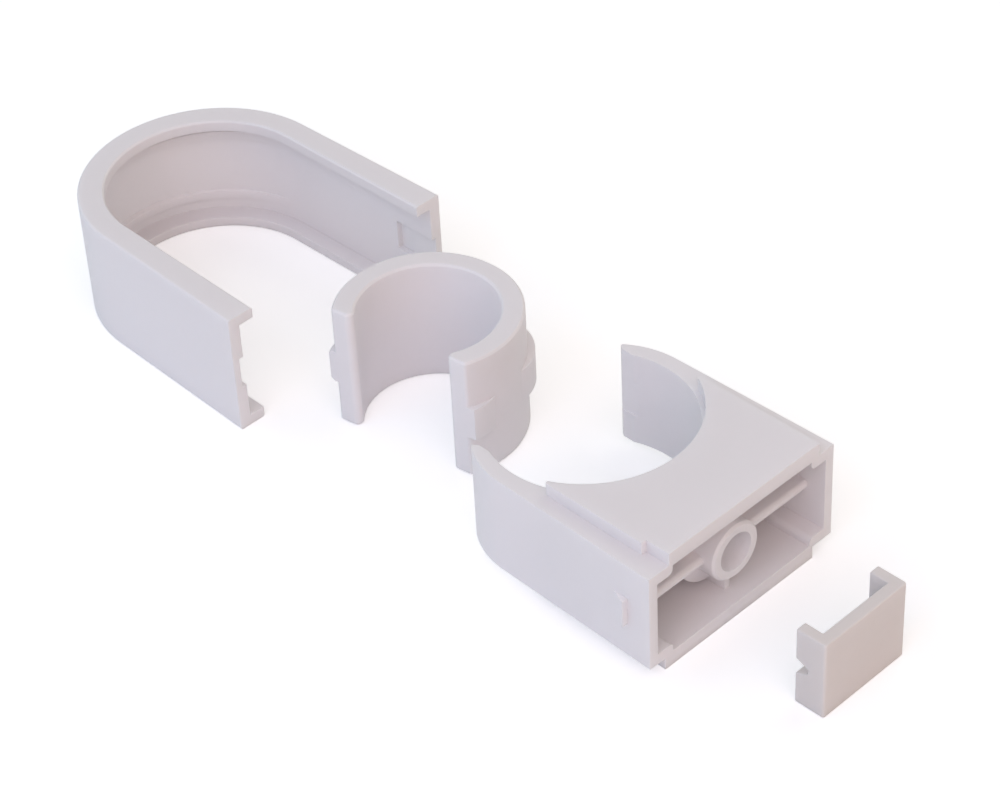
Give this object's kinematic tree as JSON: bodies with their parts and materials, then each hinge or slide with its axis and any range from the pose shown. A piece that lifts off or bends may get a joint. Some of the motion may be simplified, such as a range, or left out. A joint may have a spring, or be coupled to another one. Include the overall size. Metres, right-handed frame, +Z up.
{
  "type": "pipe clip",
  "caption": "Wall clip for pipes: a screw-down base with a press-in cradle, a cover that clips over it, a ring that cuts it down to a thinner pipe, and a rear plug.",
  "frame": {"origin": "middle of the base's wall face, at its lower edge on the standing surface", "axes": "+X out of the wall face, along the line on which the pieces go together; +Z up, along the pipe; +Y across the clip"},
  "size_m": [0.1087, 0.0304, 0.015],
  "materials": {
    "base_plastic": "satin moulded",
    "ring_plastic": "satin moulded",
    "cover_plastic": "satin moulded",
    "plug_plastic": "satin, slightly softer plastic"
  },
  "bodies": {
    "base": {"clip_base": "base_plastic"},
    "ring": {"pipe_insert": "ring_plastic"},
    "cover": {"clip_cover": "cover_plastic"},
    "plug": {"rear_plug": "plug_plastic"}
  },
  "joints": [
    {"name": "insert_slide", "type": "slide", "parent": "base", "child": "ring", "axis": [1, 0, 0], "range_m": [0, 0.0234]},
    {"name": "cover_slide", "type": "slide", "parent": "ring", "child": "cover", "axis": [1, 0, 0], "range_m": [0, 0.0351]},
    {"name": "plug_slide", "type": "slide", "parent": "base", "child": "plug", "axis": [-0.9851, 0, 0.1719], "range_m": [0, 0.01512]}
  ]
}
